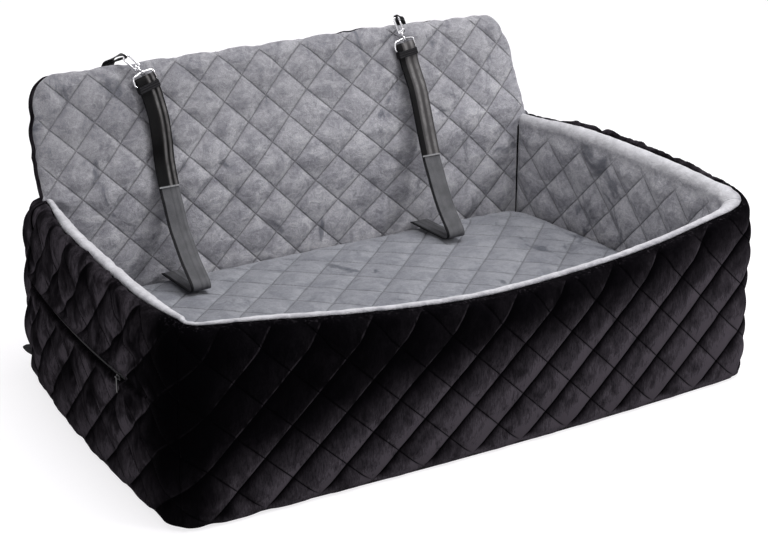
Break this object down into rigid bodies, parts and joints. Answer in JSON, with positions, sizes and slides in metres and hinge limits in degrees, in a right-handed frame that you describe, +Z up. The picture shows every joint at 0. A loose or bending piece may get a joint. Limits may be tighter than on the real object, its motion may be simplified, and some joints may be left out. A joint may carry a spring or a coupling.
{
  "type": "dog car bed",
  "caption": "Quilted box-shaped car bed for a dog, with padded walls, a lift-out seat cushion, a folding backrest panel and snap-hook tethers.",
  "frame": {"origin": "on the resting surface, under the middle of the bed", "axes": "+X to the right along the long side seen from the front, +Y to the rear where the backrest stands, +Z up"},
  "size_m": [1.2138, 0.8072, 0.5904],
  "materials": {
    "velour": "black quilted velour",
    "plush": "grey quilted plush",
    "anti_slip": "black anti-slip fabric",
    "foam": "upholstery foam",
    "webbing": "black woven webbing",
    "steel": "chrome-plated steel",
    "plastic": "black moulded plastic",
    "zip_metal": "black painted zip metal"
  },
  "bodies": {
    "bed": {"base_sheet": "anti_slip", "base_board": "foam", "left_wall_foam": "foam", "front_wall_foam": "foam", "right_wall_foam": "foam", "rear_wall_foam": "foam", "front_cover": "velour", "left_cover": "velour", "right_cover": "velour", "rear_cover": "velour", "front_lining": "plush", "left_lining": "plush", "right_lining": "plush", "rear_lining": "plush", "left_tether": "webbing", "right_tether": "webbing", "left_zip_tape": "webbing", "right_zip_tape": "webbing", "left_rear_tab": "webbing", "right_rear_tab": "webbing"},
    "seat_cushion": {"seat_cushion_top_cover": "plush", "seat_cushion_underside": "velour", "seat_cushion_foam": "foam"},
    "backrest": {"backrest_front_cover": "plush", "backrest_rear_cover": "velour", "backrest_foam": "foam", "left_ring": "steel", "left_swivel_eye": "steel", "left_headrest_loop": "webbing", "left_headrest_strap": "webbing", "left_buckle_tail": "webbing", "left_buckle_socket": "plastic", "left_tether_keeper": "webbing", "right_ring": "steel", "right_swivel_eye": "steel", "right_headrest_loop": "webbing", "right_headrest_strap": "webbing", "right_buckle_tail": "webbing", "right_buckle_socket": "plastic", "right_tether_keeper": "webbing"},
    "left_hook": {"left_hook": "steel", "left_gate_pin": "steel"},
    "left_gate": {"left_gate": "steel"},
    "right_hook": {"right_hook": "steel", "right_gate_pin": "steel"},
    "right_gate": {"right_gate": "steel"},
    "left_buckle_plug": {"left_buckle_plug": "plastic"},
    "right_buckle_plug": {"right_buckle_plug": "plastic"},
    "left_slide_adjuster": {"left_slide_adjuster": "plastic"},
    "right_slide_adjuster": {"right_slide_adjuster": "plastic"},
    "left_zip_slider": {"left_zip_slider": "zip_metal"},
    "right_zip_slider": {"right_zip_slider": "zip_metal"},
    "left_zip_pull": {"left_zip_pull": "zip_metal"},
    "right_zip_pull": {"right_zip_pull": "zip_metal"}
  },
  "joints": [
    {"name": "seat_cushion_lift", "type": "slide", "parent": "bed", "child": "seat_cushion", "axis": [0, 0, 1], "range_m": [0, 0.15], "deforming": ["left_tether", "right_tether"]},
    {"name": "backrest_fold", "type": "hinge", "parent": "bed", "child": "backrest", "pos_m": [0, 0.2905, 0.359], "axis": [1, 0, 0], "range_deg": [0, 98], "deforming": ["left_tether", "right_tether"]},
    {"name": "left_hook_swivel", "type": "hinge", "parent": "backrest", "child": "left_hook", "pos_m": [-0.3115, 0.32677, 0.55427], "axis": [-0.6691, 0.1923, 0.7178], "range_deg": [-60, 60], "deforming": ["left_headrest_loop"]},
    {"name": "right_hook_swivel", "type": "hinge", "parent": "backrest", "child": "right_hook", "pos_m": [0.25, 0.32393, 0.54364], "axis": [-0.2419, 0.2511, 0.9372], "range_deg": [-60, 60], "deforming": ["right_headrest_loop"]},
    {"name": "left_gate_hinge", "type": "hinge", "parent": "left_hook", "child": "left_gate", "pos_m": [-0.3179, 0.33086, 0.5695], "axis": [0, -0.9659, 0.2588], "range_deg": [0, 20], "stiffness_Nm_per_rad": 0.02, "springref_deg": -28.65},
    {"name": "right_gate_hinge", "type": "hinge", "parent": "right_hook", "child": "right_gate", "pos_m": [0.25176, 0.32831, 0.55999], "axis": [0, -0.9659, 0.2588], "range_deg": [0, 20], "stiffness_Nm_per_rad": 0.02, "springref_deg": -28.65},
    {"name": "left_buckle_release", "type": "slide", "parent": "backrest", "child": "left_buckle_plug", "axis": [0, -0.2588, -0.9659], "range_m": [0, 0.026]},
    {"name": "right_buckle_release", "type": "slide", "parent": "backrest", "child": "right_buckle_plug", "axis": [0, -0.2588, -0.9659], "range_m": [0, 0.026]},
    {"name": "left_adjuster_slide", "type": "slide", "parent": "backrest", "child": "left_slide_adjuster", "axis": [0, 0.2588, 0.9659], "range_m": [-0.01, 0.005]},
    {"name": "right_adjuster_slide", "type": "slide", "parent": "backrest", "child": "right_slide_adjuster", "axis": [0, 0.2588, 0.9659], "range_m": [-0.01, 0.005]},
    {"name": "left_zip_run", "type": "hinge", "parent": "bed", "child": "left_zip_slider", "pos_m": [1.9429, -0.1164, 0.205], "axis": [0, 0, -1], "range_deg": [0, 9]},
    {"name": "right_zip_run", "type": "hinge", "parent": "bed", "child": "right_zip_slider", "pos_m": [-1.9429, -0.1164, 0.205], "axis": [0, 0, 1], "range_deg": [0, 9]},
    {"name": "left_zip_pull_flap", "type": "hinge", "parent": "left_zip_slider", "child": "left_zip_pull", "pos_m": [-0.6053, -0.1803, 0.2055], "axis": [0, 1, 0], "range_deg": [0, 160]},
    {"name": "right_zip_pull_flap", "type": "hinge", "parent": "right_zip_slider", "child": "right_zip_pull", "pos_m": [0.6053, -0.1803, 0.2055], "axis": [0, -1, 0], "range_deg": [0, 160]}
  ]
}
